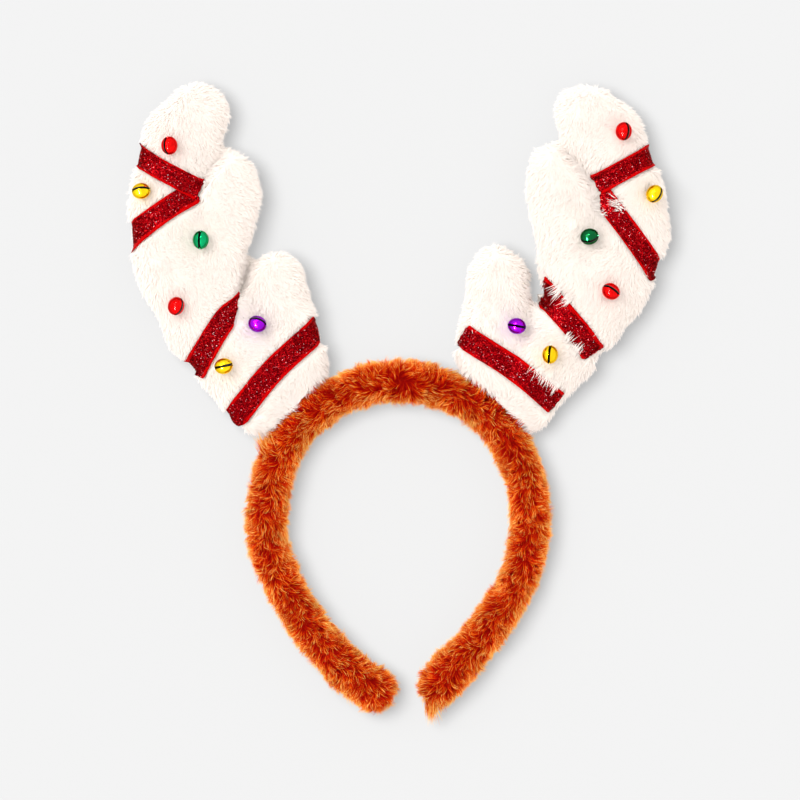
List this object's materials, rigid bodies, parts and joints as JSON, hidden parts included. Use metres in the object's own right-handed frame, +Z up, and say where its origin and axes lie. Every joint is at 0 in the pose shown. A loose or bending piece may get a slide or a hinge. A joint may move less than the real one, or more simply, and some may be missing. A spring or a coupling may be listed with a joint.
{
  "type": "reindeer antler headband",
  "caption": "Open fur-covered hoop headband with a pair of stuffed plush antlers, dressed with glitter ribbon strips and small jingle bells, lying on its back.",
  "frame": {"origin": "centre of the underside of the whole object's box, on the surface that it lies on", "axes": "+Z up out of the front, +Y from the hoop towards the antler tips, +X to the right in a front view"},
  "size_m": [0.2708, 0.3164, 0.0375],
  "materials": {
    "fur_brown": "deep combed fur pile",
    "plush_white": "soft brushed plush",
    "ribbon_red": "glitter centre with plain cut edges",
    "bell_red": "glossy tinted lacquer",
    "bell_gold": "polished",
    "bell_green": "glossy tinted lacquer",
    "bell_purple": "glossy tinted lacquer"
  },
  "bodies": {
    "root": {"headband": "fur_brown", "antler_left": "plush_white", "left_ribbon_upper": "ribbon_red", "left_ribbon_second": "ribbon_red", "left_ribbon_third": "ribbon_red", "left_ribbon_lower": "ribbon_red", "left_bell_top_red": "bell_red", "left_bell_outer_gold": "bell_gold", "left_bell_middle_green": "bell_green", "left_bell_side_red": "bell_red", "left_bell_inner_purple": "bell_purple", "left_bell_low_gold": "bell_gold", "antler_right": "plush_white", "right_ribbon_upper": "ribbon_red", "right_ribbon_second": "ribbon_red", "right_ribbon_third": "ribbon_red", "right_ribbon_lower": "ribbon_red", "right_bell_top_red": "bell_red", "right_bell_outer_gold": "bell_gold", "right_bell_middle_green": "bell_green", "right_bell_side_red": "bell_red", "right_bell_inner_purple": "bell_purple", "right_bell_low_gold": "bell_gold"}
  },
  "joints": []
}
